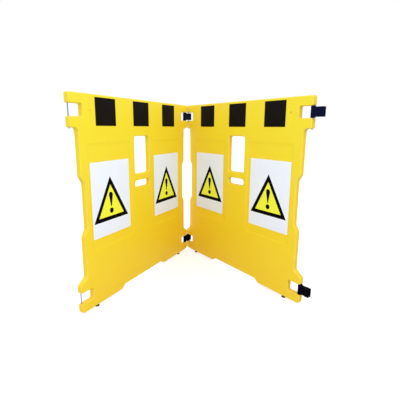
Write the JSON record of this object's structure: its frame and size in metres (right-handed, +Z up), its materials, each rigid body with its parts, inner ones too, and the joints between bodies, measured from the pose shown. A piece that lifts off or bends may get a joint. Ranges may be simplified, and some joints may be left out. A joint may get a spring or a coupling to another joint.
{
  "type": "pedestrian barrier panel",
  "caption": "Folding pedestrian barrier of hollow moulded yellow panels with hand slots, warning signs, steel hinge pins and snap-fit link clips.",
  "frame": {"origin": "on the ground, under the middle of the box round the barrier as it stands folded in a V", "axes": "+Z up, +X to the right across the open V as its front is faced, +Y from the open side of the V to its hinge"},
  "size_m": [1.1129, 0.9111, 1.017],
  "materials": {
    "moulding": "smooth moulded polyethylene, slightly glossy",
    "clip": "dark navy moulded nylon, satin",
    "pin": "bright drawn steel rod",
    "foot": "matt black rubber",
    "square": "black self-adhesive vinyl",
    "sign": "white printed plastic sheet"
  },
  "bodies": {
    "middle_clips": {"middle_top_clip": "clip", "middle_bottom_clip": "clip"},
    "left_panel": {"left_panel": "moulding", "left_outer_top_pin": "pin", "left_outer_bottom_pin": "pin", "left_inner_top_pin": "pin", "left_inner_bottom_pin": "pin", "left_outer_foot": "foot", "left_inner_foot": "foot", "left_outer_square": "square", "left_middle_square": "square", "left_inner_square": "square", "left_outer_sign": "sign", "left_inner_sign": "sign"},
    "right_panel": {"right_panel": "moulding", "right_outer_top_pin": "pin", "right_outer_bottom_pin": "pin", "right_inner_top_pin": "pin", "right_inner_bottom_pin": "pin", "right_outer_foot": "foot", "right_inner_foot": "foot", "right_outer_square": "square", "right_middle_square": "square", "right_inner_square": "square", "right_outer_sign": "sign", "right_inner_sign": "sign"},
    "free_top_clip": {"free_top_clip": "clip"},
    "free_bottom_clip": {"free_bottom_clip": "clip"}
  },
  "joints": [
    {"name": "left_hinge", "type": "hinge", "parent": "middle_clips", "child": "left_panel", "pos_m": [-0.02516, 0.41149, 0], "axis": [0, 0, -1], "range_deg": [-48, 101]},
    {"name": "right_hinge", "type": "hinge", "parent": "middle_clips", "child": "right_panel", "pos_m": [0.00312, 0.43977, 0], "axis": [0, 0, 1], "range_deg": [-12, 193]},
    {"name": "free_top_swing", "type": "hinge", "parent": "right_panel", "child": "free_top_clip", "pos_m": [0.51977, -0.40003, 0.9445], "axis": [0, 0, 1], "continuous": true},
    {"name": "free_bottom_swing", "type": "hinge", "parent": "right_panel", "child": "free_bottom_clip", "pos_m": [0.51977, -0.40003, 0.0865], "axis": [0, 0, 1], "continuous": true}
  ]
}
